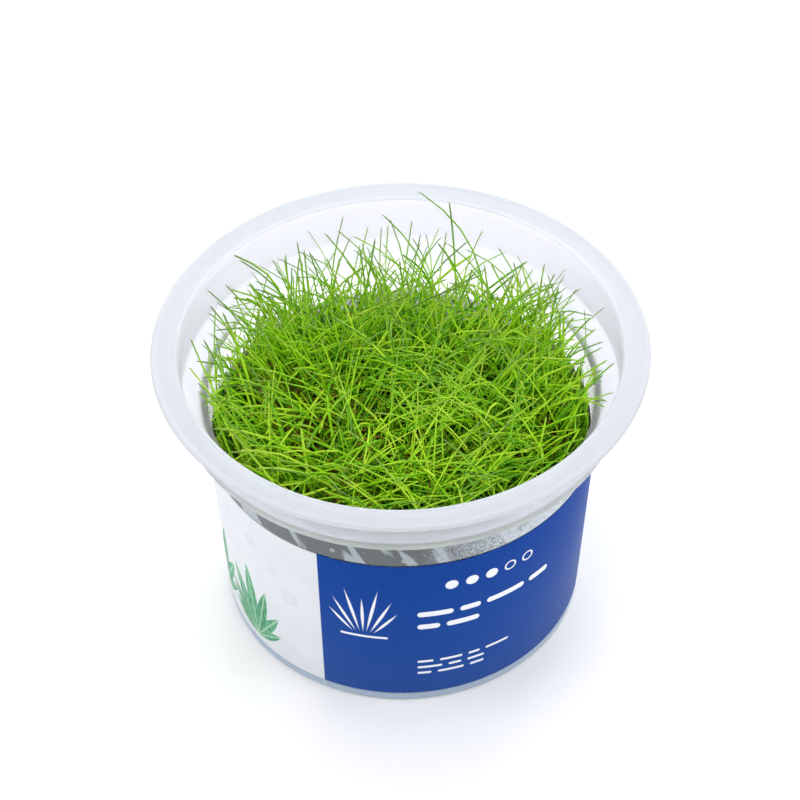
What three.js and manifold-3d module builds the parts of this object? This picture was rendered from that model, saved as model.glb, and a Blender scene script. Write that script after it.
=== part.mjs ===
// Mini needle spikerush growing in a small translucent plastic cup.
// Millimetres, +Z up. The origin is the centre of the cup's foot, on the
// surface that the cup stands on.
import * as THREE from "three";
import { mergeVertices } from "three/addons/utils/BufferGeometryUtils.js";
import Module from "manifold-3d";

const wasm = await Module();
wasm.setup();

// Cup
const RIM_RADIUS = 47.5; // widest point of the flange
const RIM_HEIGHT = 62.6; // flat top of the flange, where a lid sits
const FLANGE_THICKNESS = 0.9;
const MOUTH_RADIUS = 42.0; // inside of the upper wall
const SHOULDER_HEIGHT = 51.85; // lower corner of the upper wall
const LEDGE_HEIGHT = 50.4; // where the ledge meets the tapered body
const BODY_TOP_RADIUS = 38.5; // outside of the body just below the ledge
const BODY_TAPER = 0.06; // radius gained for each millimetre of height
const WALL = 0.8;
const FLOOR_TOP = 2.9;
const FOOT_DEPTH = 2.0; // how far the floor is raised inside the foot ring
const FOOT_RADIUS = 35.5;
const FOOT_WIDTH = 2.3;

// Label: a printed sleeve in a shallow recess around the body
const LABEL_BOTTOM = 2.4;
const LABEL_TOP = 41.85;
const LABEL_THICKNESS = 0.25;
const LABEL_GAP = 0.15; // between the sleeve and the wall behind it
const LABEL_END_GAP = 0.3; // between the sleeve's edges and the ends of its recess

// Gel that the plantlets are rooted in
const GEL_TOP = 20;
const GEL_GAP = 0.3;

// Plantlets: each is one tuft, a clump of close leaf bases with free leaves above
const TUFTS = 36;
const CROWN_SPREAD = 32.4; // radius of the disc that the crowns stand on
const FOOT_OF_CLUMP = 2.2; // radius of a clump where it meets the gel
const CLUMP_RADIUS = 6; // of a clump that no neighbour presses on
const CLUMP_HEIGHT = 22;
const CLUMP_HEIGHT_SPREAD = [0.85, 1.1]; // shares of the height above
const CLUMP_SIDES = 6;
const LEAVES = 5; // in each tuft, besides the tallest ones below
const TALL_EVERY = 2; // each leaf whose number divides by this is a long upright one
const TALL_LENGTH = [14, 27]; // the free part, above the clump
const TALL_LEAN = [4, 30]; // degrees from upright
const SHORT_LENGTH = [10, 19];
const SHORT_LEAN = [30, 72];
const LEAF_ROOT = 0.75; // share of the clump's height where a leaf starts inside it
const BEND_OUT = 0.2; // how a leaf arches: shares of its way out and its way up
const BEND_UP = 0.6;
const LEAF_RADIUS = 0.75; // at the clump; a leaf tapers to a point
const LEAF_SEGMENTS = 2;
const TALLEST_SEGMENTS = 3;
const LEAF_GAP = 0.3; // kept between tufts
const TRIES = 90; // places tried for a leaf before it is left out

// Leaf tips that stand out above the others: azimuth in degrees, radius, height
const TALLEST_TIPS = [
  [84, 36, 70.6],
  [74, 36, 68.6],
  [108, 36, 65.4],
  [95, 36, 64.5],
  [63, 36, 63.1],
  [146, 38, 65.9],
  [160, 39.5, 64.6],
  [139, 36, 61.4],
  [120, 35, 60.0],
  [40, 36, 59.2],
  [28, 36, 62.9],
  [18, 36.2, 65.9],
  [-17, 39.5, 63.6],
  [-30, 37, 60.5],
  [-162, 39.3, 60.2],
  [-150, 38, 62.0],
];

// The free room between the grass and the upper wall, kept open on four sides
const FREE_ROOM_RADIUS = 36.4;
const FREE_ROOM_HALF_WIDTH = 5.2;

const ROUND_SEGMENTS = 36;
const SEED = 20260;
const DEGREE = Math.PI / 180;
const GOLDEN_ANGLE = Math.PI * (3 - Math.sqrt(5));

const cupPlastic = () =>
  new THREE.MeshStandardMaterial({
    color: 0xdde4ec,
    roughness: 0.35,
    transparent: true,
    opacity: 0.6,
  });
const labelFilm = () =>
  new THREE.MeshStandardMaterial({ color: 0x204a96, roughness: 0.45 });
const gel = () => new THREE.MeshStandardMaterial({ color: 0xc9cdb4, roughness: 0.15 });
const leafGreen = () => new THREE.MeshStandardMaterial({ color: 0x7fb418, roughness: 0.5 });

// Repeatable random numbers from 0 to 1
function randomFrom(seed) {
  let state = seed >>> 0;
  return () => {
    state = (Math.imul(state, 1664525) + 1013904223) >>> 0;
    return state / 4294967296;
  };
}

const random = randomFrom(SEED);
const between = (low, high) => low + (high - low) * random();

function named(name, geometry, material) {
  const mesh = new THREE.Mesh(geometry, material);
  mesh.name = name;
  return mesh;
}

// A ring or vessel: the outline [radius, height] runs round the material
// anticlockwise and is turned about the Z axis.
function turned(outline) {
  const points = outline.map(([r, z]) => new THREE.Vector2(r, z));
  return new THREE.LatheGeometry(points, ROUND_SEGMENTS).rotateX(Math.PI / 2);
}

function solidOf(geometry) {
  const bare = geometry.clone();
  bare.deleteAttribute("normal");
  bare.deleteAttribute("uv");
  const merged = mergeVertices(bare, 1e-4);
  return new wasm.Manifold(
    new wasm.Mesh({
      numProp: 3,
      vertProperties: merged.attributes.position.array,
      triVerts: new Uint32Array(merged.index.array),
    }),
  );
}

function geometryOf(solid) {
  const mesh = solid.getMesh();
  const geometry = new THREE.BufferGeometry();
  geometry.setAttribute("position", new THREE.BufferAttribute(mesh.vertProperties, 3));
  geometry.setIndex(new THREE.BufferAttribute(mesh.triVerts, 1));
  geometry.computeVertexNormals();
  return geometry;
}

// Outside of the tapered body, above and below the label
const bodyRadius = (z) => BODY_TOP_RADIUS - BODY_TAPER * (LEDGE_HEIGHT - z);
// Outside of the wall behind the label
const recessRadius = (z) => bodyRadius(z) - LABEL_THICKNESS - LABEL_GAP;
const innerRadius = (z) => recessRadius(z) - WALL;

// One moulded piece: foot ring, raised floor, tapered body, sloping ledge,
// upright upper wall and a flat flange
function cup() {
  const recessBottom = LABEL_BOTTOM - LABEL_END_GAP;
  const recessTop = LABEL_TOP + LABEL_END_GAP;
  const shoulderRadius = MOUTH_RADIUS + WALL;
  const underFlange = RIM_HEIGHT - FLANGE_THICKNESS;
  const ledgeLift = 1.1 * WALL; // from the ledge's underside to its top
  const outline = [
    [0, FOOT_DEPTH],
    [FOOT_RADIUS - FOOT_WIDTH - 0.6, FOOT_DEPTH],
    [FOOT_RADIUS - FOOT_WIDTH, 0],
    [FOOT_RADIUS - 0.5, 0],
    [FOOT_RADIUS, 0.5],
    [FOOT_RADIUS, recessBottom - 0.2],
    [recessRadius(recessBottom), recessBottom],
    [recessRadius(recessTop), recessTop],
    [bodyRadius(recessTop), recessTop],
    [BODY_TOP_RADIUS, LEDGE_HEIGHT - 0.6],
    [BODY_TOP_RADIUS + 0.4, LEDGE_HEIGHT],
    [shoulderRadius - 0.3, SHOULDER_HEIGHT - 0.2],
    [shoulderRadius, SHOULDER_HEIGHT + 0.2],
    [shoulderRadius + 0.15, underFlange - 0.7],
    [shoulderRadius + 0.8, underFlange],
    [RIM_RADIUS - 0.5, underFlange],
    [RIM_RADIUS, RIM_HEIGHT - 0.5],
    [RIM_RADIUS - 0.4, RIM_HEIGHT],
    [MOUTH_RADIUS + 0.7, RIM_HEIGHT],
    [MOUTH_RADIUS + 0.3, RIM_HEIGHT - 0.3],
    [MOUTH_RADIUS, RIM_HEIGHT - 1.9],
    [MOUTH_RADIUS - 0.05, SHOULDER_HEIGHT + ledgeLift + 0.4],
    [MOUTH_RADIUS - 0.5, SHOULDER_HEIGHT + ledgeLift],
    [innerRadius(LEDGE_HEIGHT) + 0.3, LEDGE_HEIGHT + ledgeLift],
    [innerRadius(LEDGE_HEIGHT), LEDGE_HEIGHT + 0.3],
    [innerRadius(FLOOR_TOP + 1), FLOOR_TOP + 1],
    [innerRadius(FLOOR_TOP) - 0.9, FLOOR_TOP],
    [0, FLOOR_TOP],
  ];
  return turned(outline);
}

function labelSleeve() {
  const outer = (z) => recessRadius(z) + LABEL_GAP + LABEL_THICKNESS;
  const inner = (z) => recessRadius(z) + LABEL_GAP;
  return turned([
    [inner(LABEL_BOTTOM), LABEL_BOTTOM],
    [outer(LABEL_BOTTOM), LABEL_BOTTOM],
    [outer(LABEL_TOP), LABEL_TOP],
    [inner(LABEL_TOP), LABEL_TOP],
    [inner(LABEL_BOTTOM), LABEL_BOTTOM],
  ]);
}

function gelDisc() {
  const bottom = FLOOR_TOP + GEL_GAP;
  const side = (z) => innerRadius(z) - GEL_GAP;
  return turned([
    [0, bottom],
    [side(bottom) - 1.2, bottom],
    [side(bottom + 1.2), bottom + 1.2],
    [side(GEL_TOP), GEL_TOP],
    [0, GEL_TOP],
  ]);
}

// Crowns stand on a spiral, so that they cover the gel evenly
function crownPlace(i) {
  const radius = CROWN_SPREAD * Math.sqrt((i + 0.5) / TUFTS);
  const angle = i * GOLDEN_ANGLE + between(-0.05, 0.05);
  const height = GEL_TOP + GEL_GAP;
  return new THREE.Vector3(radius * Math.cos(angle), radius * Math.sin(angle), height);
}

const flatDistance = (a, b) => Math.hypot(a.x - b.x, a.y - b.y);

// What bounds a clump on its sides: the planes half way to its neighbours and
// one just inside the cup's wall, as a direction and a distance from the crown
function boundsOf(crown, crowns) {
  const bounds = crowns
    .filter((c) => c !== crown && flatDistance(c, crown) < 2 * CLUMP_RADIUS)
    .map((c) => ({
      angle: Math.atan2(c.y - crown.y, c.x - crown.x),
      distance: (flatDistance(c, crown) - LEAF_GAP) / 2,
    }));
  const wallRadius = innerRadius(GEL_TOP) - LEAF_GAP;
  bounds.push({
    angle: Math.atan2(crown.y, crown.x),
    distance: wallRadius - Math.hypot(crown.x, crown.y),
  });
  return bounds.filter((bound) => bound.distance < CLUMP_RADIUS);
}

// The corner points of a leaf that starts inside its clump, rises and arches
// over to its tip
function leafLine({ crown, height }, tip, segments) {
  const sideways = new THREE.Vector3(tip.x - crown.x, tip.y - crown.y, 0);
  const foot = sideways.clone().setLength(Math.min(FOOT_OF_CLUMP, sideways.length()));
  const start = crown.clone().add(foot);
  start.z += LEAF_ROOT * height;
  const bend = start.clone().addScaledVector(sideways, BEND_OUT);
  bend.z += BEND_UP * (tip.z - start.z);
  return new THREE.QuadraticBezierCurve3(start, bend, tip).getPoints(segments);
}

// A cone of three sides, its rings moved onto the leaf's line
function leafGeometry(line) {
  const segments = line.length - 1;
  const geometry = new THREE.ConeGeometry(LEAF_RADIUS, 1, 3, segments).rotateX(Math.PI / 2);
  const position = geometry.attributes.position;
  const place = new THREE.Vector3();
  for (let i = 0; i < position.count; i++) {
    const ring = Math.round((position.getZ(i) + 0.5) * segments);
    const before = line[Math.max(ring - 1, 0)];
    const after = line[Math.min(ring + 1, segments)];
    const along = new THREE.Vector3().subVectors(after, before).normalize();
    const across = new THREE.Vector3(along.z, 0, -along.x).normalize();
    const third = new THREE.Vector3().crossVectors(along, across);
    place.copy(line[ring]);
    place.addScaledVector(across, position.getX(i));
    place.addScaledVector(third, position.getY(i));
    position.setXYZ(i, place.x, place.y, place.z);
  }
  return geometry;
}

// Each straight stretch of a leaf with its thickest radius
function stretches(line) {
  const segments = line.length - 1;
  return line.slice(1).map((end, i) => ({
    line: new THREE.Line3(line[i], end),
    radius: LEAF_RADIUS * (1 - i / segments),
  }));
}

// The furthest from the axis that a leaf's middle line may be at a height
function reach(z) {
  const margin = LEAF_RADIUS + LEAF_GAP;
  const aboveLedge = z > SHOULDER_HEIGHT + 3 * margin;
  return aboveLedge ? MOUTH_RADIUS - 2 * margin : innerRadius(z) - margin;
}

function fitsCup(line) {
  return line.every((p) => {
    const radius = Math.hypot(p.x, p.y);
    const beside = Math.min(Math.abs(p.x), Math.abs(p.y)) < FREE_ROOM_HALF_WIDTH;
    return radius < reach(p.z) && !(beside && radius > FREE_ROOM_RADIUS);
  });
}

const onePoint = new THREE.Vector3();
const otherPoint = new THREE.Vector3();

function clearOfLeaves(tuft, mine) {
  return tuft.stretches.every((other) =>
    mine.every((own) => {
      const apart = own.radius + other.radius + LEAF_GAP;
      return own.line.distanceSqToLine3(other.line, onePoint, otherPoint) > apart * apart;
    }),
  );
}

// Is each leaf point above the other tuft's clump, or on its own tuft's side?
function clearOfClump(own, other, mine) {
  const margin = LEAF_RADIUS + LEAF_GAP;
  const top = other.crown.z + other.height + margin;
  return mine.every((stretch) =>
    [0, 0.25, 0.5, 0.75, 1].every((share) => {
      stretch.line.at(share, onePoint);
      const toOther = flatDistance(onePoint, other.crown);
      const nearer = toOther - flatDistance(onePoint, own.crown);
      return onePoint.z > top || toOther > CLUMP_RADIUS + margin || nearer > 2 * margin;
    }),
  );
}

function randomTip({ crown, height }, tall) {
  const azimuth = between(0, 2 * Math.PI);
  const lean = DEGREE * between(...(tall ? TALL_LEAN : SHORT_LEAN));
  const length = between(...(tall ? TALL_LENGTH : SHORT_LENGTH));
  return new THREE.Vector3(
    crown.x + length * Math.sin(lean) * Math.cos(azimuth),
    crown.y + length * Math.sin(lean) * Math.sin(azimuth),
    crown.z + LEAF_ROOT * height + length * Math.cos(lean),
  );
}

// Leaf lines for every tuft: the tallest ones first, then the rest in rounds,
// each placed where it touches no other tuft
function growLeaves(tufts) {
  const addLeaf = (tuft, tip, segments) => {
    const line = leafLine(tuft, tip, segments);
    const mine = stretches(line);
    const others = tufts.filter((t) => t !== tuft);
    const free = others.every((t) => clearOfClump(tuft, t, mine) && clearOfLeaves(t, mine));
    if (!fitsCup(line) || !free) return false;
    tuft.leaves.push(line);
    tuft.stretches.push(...mine);
    return true;
  };
  for (const [azimuth, radius, height] of TALLEST_TIPS) {
    const angle = azimuth * DEGREE;
    const tip = new THREE.Vector3(radius * Math.cos(angle), radius * Math.sin(angle), height);
    const away = (tuft) => flatDistance(tuft.crown, tip);
    const nearest = tufts.toSorted((a, b) => away(a) - away(b)).slice(0, 3);
    nearest.some((tuft) => addLeaf(tuft, tip, TALLEST_SEGMENTS));
  }
  for (let leaf = 0; leaf < LEAVES; leaf++) {
    const tall = leaf % TALL_EVERY === 0;
    for (const tuft of tufts) {
      for (let attempt = 0; attempt < TRIES; attempt++) {
        if (addLeaf(tuft, randomTip(tuft, tall), LEAF_SEGMENTS)) break;
      }
    }
  }
}

// The close leaf bases of one plantlet: a dome on a narrow foot, flattened
// where its neighbours and the cup's wall press on it
function clump({ crown, height, turn, bounds }) {
  const outline = [
    [0, 0],
    [FOOT_OF_CLUMP, 0],
    [CLUMP_RADIUS, 0.55 * height],
    [0.75 * CLUMP_RADIUS, 0.88 * height],
    [0, height],
  ];
  const points = outline.map(([r, z]) => new THREE.Vector2(r, z));
  const dome = new THREE.LatheGeometry(points, CLUMP_SIDES)
    .rotateX(Math.PI / 2)
    .rotateZ(turn)
    .translate(crown.x, crown.y, crown.z);
  const size = 2 * height;
  return bounds.reduce((body, { angle, distance }) => {
    const beyond = new THREE.BoxGeometry(size, size, 2 * size)
      .translate(distance + size / 2, 0, 0)
      .rotateZ(angle)
      .translate(crown.x, crown.y, crown.z);
    return body.subtract(solidOf(beyond));
  }, solidOf(dome));
}

// One plantlet: its clump and leaves joined in one body
function tuftGeometry(tuft) {
  const addLeaf = (body, line) => body.add(solidOf(leafGeometry(line)));
  return geometryOf(tuft.leaves.reduce(addLeaf, clump(tuft)));
}

const plantCup = new THREE.Group();
plantCup.add(named("cup", cup(), cupPlastic()));
plantCup.add(named("label_sleeve", labelSleeve(), labelFilm()));
plantCup.add(named("nutrient_gel", gelDisc(), gel()));

const crowns = Array.from({ length: TUFTS }, (_, i) => crownPlace(i));
const tufts = crowns.map((crown) => ({
  crown,
  height: CLUMP_HEIGHT * between(...CLUMP_HEIGHT_SPREAD),
  turn: between(0, Math.PI),
  bounds: boundsOf(crown, crowns),
  leaves: [],
  stretches: [],
}));
growLeaves(tufts);
tufts.forEach((tuft, i) => {
  const name = "tuft_" + String(i + 1).padStart(2, "0");
  plantCup.add(named(name, tuftGeometry(tuft), leafGreen()));
});

export default plantCup;
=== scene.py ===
# %% [markdown]
# # Mini needle spikerush in its nursery cup
# On the real object a plant nursery has grown a mat of fine needle leaves on clear gel, in a
# small translucent cup with a wide flange and a printed sleeve. The solids of that object are
# already packed, so this lesson loads them first and dresses each one: they say where every
# piece sits, and nothing here needs to be fitted by eye. Everything is in metres, +Z up.

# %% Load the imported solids
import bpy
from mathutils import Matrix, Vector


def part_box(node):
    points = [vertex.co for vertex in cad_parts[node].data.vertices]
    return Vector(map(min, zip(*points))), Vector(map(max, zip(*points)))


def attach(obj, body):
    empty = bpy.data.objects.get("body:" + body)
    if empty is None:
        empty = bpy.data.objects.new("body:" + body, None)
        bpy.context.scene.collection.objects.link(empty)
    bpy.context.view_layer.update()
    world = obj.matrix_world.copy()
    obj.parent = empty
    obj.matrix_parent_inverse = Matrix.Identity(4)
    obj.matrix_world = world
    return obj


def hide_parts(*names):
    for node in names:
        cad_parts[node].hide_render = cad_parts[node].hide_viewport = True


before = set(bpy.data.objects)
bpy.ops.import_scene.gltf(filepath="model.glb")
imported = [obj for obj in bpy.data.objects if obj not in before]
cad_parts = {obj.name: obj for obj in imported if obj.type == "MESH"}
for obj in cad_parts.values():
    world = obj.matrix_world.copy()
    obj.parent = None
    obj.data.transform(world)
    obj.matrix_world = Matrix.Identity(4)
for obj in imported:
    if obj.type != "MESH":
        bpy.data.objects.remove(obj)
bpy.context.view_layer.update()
print("solids loaded:", len(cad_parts))

# %% Bring in Blender's own modules
import math
import random

import bmesh
import bpy
from mathutils import Matrix, Vector

MM = 0.001
scene = bpy.context.scene
print("one millimetre is", MM, "of Blender's units")

# %% [markdown]
# ## Camera
# The cup was photographed with a long lens from about 44 degrees above the table. A camera can
# be aimed with a Track To constraint, but here its place is known exactly, so it is built as a
# matrix: step back from the middle of the rim, look at it, then add three small turns that a
# hand-held camera always has. The matrix's columns are right, up and backwards.

# %% Place the camera
RIM_CENTRE = Vector((0, 0, 62.5 * MM))
CAMERA_DISTANCE = 550 * MM
CAMERA_ELEVATION = 0.76646
PAN, TILT, ROLL = 0.00037, -0.018835, 0.0141965
LENS = 130.43

toward_camera = Vector((0, -math.cos(CAMERA_ELEVATION), math.sin(CAMERA_ELEVATION)))
look = -toward_camera
right = Vector((1, 0, 0))
up = right.cross(look)
for axis_name, angle in (("up", PAN), ("right", TILT), ("look", ROLL)):
    axis = {"up": up, "right": right, "look": look}[axis_name]
    turn = Matrix.Rotation(angle, 3, axis)
    look, right, up = turn @ look, turn @ right, turn @ up

camera_data = bpy.data.cameras.new("camera")
camera_data.lens = LENS
camera_data.clip_start = 0.01
camera = bpy.data.objects.new("camera", camera_data)
scene.collection.objects.link(camera)
camera.matrix_world = Matrix.LocRotScale(
    RIM_CENTRE + CAMERA_DISTANCE * toward_camera,
    Matrix((right, up, -look)).transposed(),
    None,
)
scene.camera = camera
print("camera at", [round(value, 3) for value in camera.location])

# %% [markdown]
# ## Table and light
# The photograph is a bright studio picture on white. White all round is easily had from the
# world's own colour. It gives flat light with soft contact shadows. A large light behind makes the
# thin plastic glow, and a weaker one on each side adds gentle highlights. The exposure is a little
# high, as in the picture. The table is a big pale sheet that isn't attached to the cup.

# %% Make the table
def plain_finish(name, colour, roughness):
    """A finish for things that aren't part of the object."""
    finish = bpy.data.materials.new(name)
    finish.use_nodes = True
    shader = finish.node_tree.nodes["Principled BSDF"]
    shader.inputs["Base Color"].default_value = (*colour, 1)
    shader.inputs["Roughness"].default_value = roughness
    return finish


table_bm = bmesh.new()
bmesh.ops.create_grid(table_bm, x_segments=1, y_segments=1, size=3)
table_mesh = bpy.data.meshes.new("table")
table_bm.to_mesh(table_mesh)
table_bm.free()
table_mesh.materials.append(plain_finish("table_white", (0.93, 0.93, 0.93), 0.6))
table = bpy.data.objects.new("table", table_mesh)
scene.collection.objects.link(table)
table.location.z = -0.0001
print("table is", table.dimensions.x, "m wide")

# %% Light the scene
WORLD_STRENGTH = 0.88
EXPOSURE = 0.3
world = bpy.data.worlds.new("studio")
scene.world = world
world.use_nodes = True
world.node_tree.nodes["Background"].inputs["Color"].default_value = (1, 1, 1, 1)
world.node_tree.nodes["Background"].inputs["Strength"].default_value = WORLD_STRENGTH
scene.view_settings.view_transform = "Standard"
scene.view_settings.exposure = EXPOSURE


def softbox(name, place, size, power):
    """An area light at place, in metres, facing the middle of the rim."""
    data = bpy.data.lights.new(name, "AREA")
    data.size = size
    data.energy = power
    light = bpy.data.objects.new(name, data)
    scene.collection.objects.link(light)
    light.location = place
    light.rotation_euler = (RIM_CENTRE - Vector(place)).to_track_quat("-Z", "Y").to_euler()
    print(name, "at", place, "with", power, "W")


softbox("left_light", (-0.8, -0.1, 0.5), 0.5, 1.5)
softbox("right_light", (0.8, -0.1, 0.5), 0.5, 1.5)
softbox("back_light", (0.15, 0.75, 0.75), 0.7, 3.0)

# %% [markdown]
# ## Shared helpers
# Every finished piece follows the same few steps: write its mesh, smooth its faces, move with
# the only body, stand for its solid and name its material slot. One function does them all, so
# that no piece can miss a step. Shader nodes could be added and linked by hand, a dozen lines for
# each material; a small class does that work here, so that a recipe reads like a formula.

# %% Finish a piece
def finish_piece(bm, name, stands_for, finishes, smooth_angle=40):
    """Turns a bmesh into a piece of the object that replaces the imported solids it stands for."""
    mesh = bpy.data.meshes.new(name)
    bm.to_mesh(mesh)
    bm.free()
    for finish in finishes:
        mesh.materials.append(finish)
    mesh.shade_smooth()
    mesh.set_sharp_from_angle(angle=math.radians(smooth_angle))
    piece = bpy.data.objects.new(name, mesh)
    scene.collection.objects.link(piece)
    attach(piece, "root")
    if stands_for:
        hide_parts(*stands_for)
    print(name, "has", len(mesh.polygons), "faces")


print("piece helper ready")

# %% Wire nodes together
class Wiring:
    """Adds nodes to a tree and links them in one call, which keeps recipes short."""

    def __init__(self, tree):
        self.tree = tree

    def feed(self, node, socket, value):
        """Links an output to a socket, or sets its own value. i0 is the first socket."""
        by_number = socket[0] == "i" and socket[1:].isdigit()
        target = node.inputs[int(socket[1:])] if by_number else node.inputs[socket]
        if isinstance(value, bpy.types.NodeSocket):
            self.tree.links.new(value, target)
        else:
            target.default_value = value

    def feed_all(self, node, sockets):
        for key, value in sockets.items():
            self.feed(node, key.replace("_", " "), value)

    def add(self, kind, settings=None, **sockets):
        """A node of a kind. Its settings are properties; its sockets are numbers or outputs."""
        node = self.tree.nodes.new("ShaderNode" + kind)
        for key, value in (settings or {}).items():
            setattr(node, key, value)
        self.feed_all(node, sockets)
        return node

    def group(self, tree, **sockets):
        """The outputs of a node group that is placed here."""
        node = self.add("Group", {"node_tree": tree})
        self.feed_all(node, sockets)
        return node.outputs

    def place(self):
        """Where a point of the surface is, in the piece's own metres."""
        return self.add("TexCoord").outputs["Object"]

    def math(self, operation, *values):
        """A Math node's output."""
        sockets = {f"i{n}": value for n, value in enumerate(values)}
        return self.add("Math", {"operation": operation}, **sockets).outputs[0]

    def vector(self, x, y):
        """A vector in the XY plane."""
        return self.add("CombineXYZ", None, X=x, Y=y).outputs[0]

    def length(self, vector):
        """How long a vector is."""
        return self.add("VectorMath", {"operation": "LENGTH"}, i0=vector).outputs["Value"]

    def blend(self, factor, first, second):
        """A colour between two others."""
        sockets = {"i0": factor, "i6": first, "i7": second}
        return self.add("Mix", {"data_type": "RGBA"}, **sockets).outputs[2]

    def spread(self, value, low, high, start=0.0, end=1.0):
        """A value between low and high moved to between start and end, and held there."""
        sockets = {"i0": value, "i1": low, "i2": high, "i3": start, "i4": end}
        return self.add("MapRange", {"clamp": True}, **sockets).outputs[0]

    def noise(self, place, scale, detail=2.0):
        """Noise at a scale in spots per metre, as a number around 0.5."""
        sockets = {"Vector": place, "Scale": scale, "Detail": detail, "Roughness": 0.5}
        return self.add("TexNoise", None, **sockets).outputs[0]

    def relief(self, shader, height, strength, depth):
        """Lets a height between 0 and 1 bump a shader's surface by a depth in metres."""
        bump = self.add("Bump", None, Strength=strength, Distance=depth, Height=height)
        self.feed(shader, "Normal", bump.outputs[0])


print("wiring ready")

# %% Start groups and finishes
def node_group(name, inputs, outputs):
    """An empty node group with named number, colour or vector sockets."""
    tree = bpy.data.node_groups.new(name, "ShaderNodeTree")
    for in_out, sockets in (("INPUT", inputs), ("OUTPUT", outputs)):
        for socket, (kind, value) in sockets.items():
            kind = "NodeSocket" + kind
            made = tree.interface.new_socket(socket, in_out=in_out, socket_type=kind)
            if value is not None:
                made.default_value = value
    entry = tree.nodes.new("NodeGroupInput")
    leave = tree.nodes.new("NodeGroupOutput")
    return tree, Wiring(tree), entry.outputs, leave.inputs


def principled_finish(name, **fixed):
    """A material with a Principled shader, whose unchanging sockets are set here."""
    finish = bpy.data.materials.new(name)
    finish.use_nodes = True
    tree = finish.node_tree
    shader = tree.nodes["Principled BSDF"]
    wire = Wiring(tree)
    wire.feed_all(shader, fixed)
    return finish, shader, wire


print("helpers ready")

# %% [markdown]
# ## Cup
# The cup is one injection moulding: foot ring, raised floor, slightly tapered wall, a ledge, an
# upright upper wall and the wide flange. Such a part is drawn as half of its cross-section
# and spun round the axis. It could be a Screw modifier on a curve, but spinning
# the outline with bmesh keeps each ring of edges known, so every moulded corner can then be
# bevelled by its own amount.

# %% Draw the cup's cross-section
# Each point is a radius, a height and how far its ring is rounded, in millimetres
OUTSIDE = [
    (0.0, 2.0, 0), (32.6, 2.0, 0.3), (33.2, 0.0, 0.15), (35.0, 0.0, 0.2),
    (35.5, 0.5, 0.2), (35.5, 1.9, 0.1), (35.2, 2.1, 0.05), (37.6, 42.15, 0.1),
    (38.0, 42.2, 0.1), (38.5, 49.8, 0.3), (38.9, 50.4, 0.4), (42.5, 51.65, 0.3),
    (42.8, 52.05, 0.3), (42.95, 61.0, 0.3), (43.6, 61.7, 0.3), (46.9, 61.75, 0.2),
]
FLANGE_TOP = [
    (47.5, 62.0, 0.15), (47.45, 62.35, 0.12), (47.15, 62.6, 0.15), (46.7, 62.6, 0.15),
    (46.1, 62.47, 0.2), (43.2, 62.5, 0.1), (42.75, 62.6, 0.1), (42.3, 62.3, 0.12),
]
INSIDE = [
    (42.0, 60.7, 0.2), (41.95, 53.15, 0.3), (41.5, 52.75, 0.3), (37.6, 51.3, 0.4),
    (37.3, 50.7, 0.3), (34.5, 3.9, 0.5), (33.55, 2.9, 0.5), (0.0, 2.9, 0),
]
CUP_OUTLINE = OUTSIDE + FLANGE_TOP + INSIDE
print("the cross-section has", len(CUP_OUTLINE), "points")

# %% Spin an outline and round its corners
SPIN_STEPS = 192
SAME_PLACE = 1e-6


def spin_outline(outline, closed=False):
    """Turns an outline once round the Z axis into a closed mesh."""
    bm = bmesh.new()
    corners = [bm.verts.new((r * MM, 0, z * MM)) for r, z, _ in outline]
    following = corners[1:] + corners[:1] if closed else corners[1:]
    sides = [bm.edges.new(pair) for pair in zip(corners, following)]
    bmesh.ops.spin(bm, geom=corners + sides, cent=(0, 0, 0), axis=(0, 0, 1), dvec=(0, 0, 0),
                   angle=math.tau, steps=SPIN_STEPS, use_merge=True)
    bmesh.ops.remove_doubles(bm, verts=bm.verts, dist=SAME_PLACE)
    bmesh.ops.recalc_face_normals(bm, faces=bm.faces)
    return bm


def round_rings(bm, outline, segments=3):
    """Bevels each ring of edges by the amount that its outline point asks for."""
    for width in sorted({amount for _, _, amount in outline if amount}):
        wanted = [Vector((r * MM, z * MM)) for r, z, amount in outline if amount == width]

        def on_ring(edge):
            first, second = (Vector((v.co.xy.length, v.co.z)) for v in edge.verts)
            level = (first - second).length < SAME_PLACE
            return level and any((first - point).length < SAME_PLACE for point in wanted)

        ring_edges = [edge for edge in bm.edges if on_ring(edge)]
        bmesh.ops.bevel(bm, geom=ring_edges, offset=width * MM, offset_type="OFFSET",
                        segments=segments, profile=0.5, affect="EDGES", material=-1,
                        clamp_overlap=True)


cup_bm = spin_outline(CUP_OUTLINE)
round_rings(cup_bm, CUP_OUTLINE)
print("the spun cup has", len(cup_bm.faces), "faces")

# %% [markdown]
# ## Translucent plastic
# The cup is polypropylene, which is milky where it is thick and dry and almost clear where it
# is thin and wet. Five finishes share one node group: it gives faint flow marks, rings that the
# turned mould leaves, a few specks and uneven gloss. Milkiness is mostly light scattered
# inside, so the thick flange leans on subsurface light and the thin wall on transmission.

# %% Moulded surface group
tree, wire, entry, leave = node_group(
    "moulded surface",
    {
        "Colour": ("Color", (0.85, 0.89, 0.94, 1)),
        "Speck Colour": ("Color", (0.35, 0.36, 0.34, 1)),
        "Gloss": ("Float", 0.3),
        "Flow Marks": ("Float", 0.03),
    },
    {"Colour": ("Color", None), "Roughness": ("Float", None), "Height": ("Float", None)},
)
place = wire.place()
clouds = wire.noise(place, 90, 3)
fine = wire.noise(place, 900)
# A few specks: the middles of cells, only where a slow noise is high
cells = wire.add("TexVoronoi", None, Vector=place, Scale=260.0).outputs["Distance"]
specks = wire.spread(cells, 0.03, 0.05, 1.0, 0.0)
specks = wire.math("MULTIPLY", specks, wire.spread(wire.noise(place, 60, 1), 0.6, 0.64))
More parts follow.
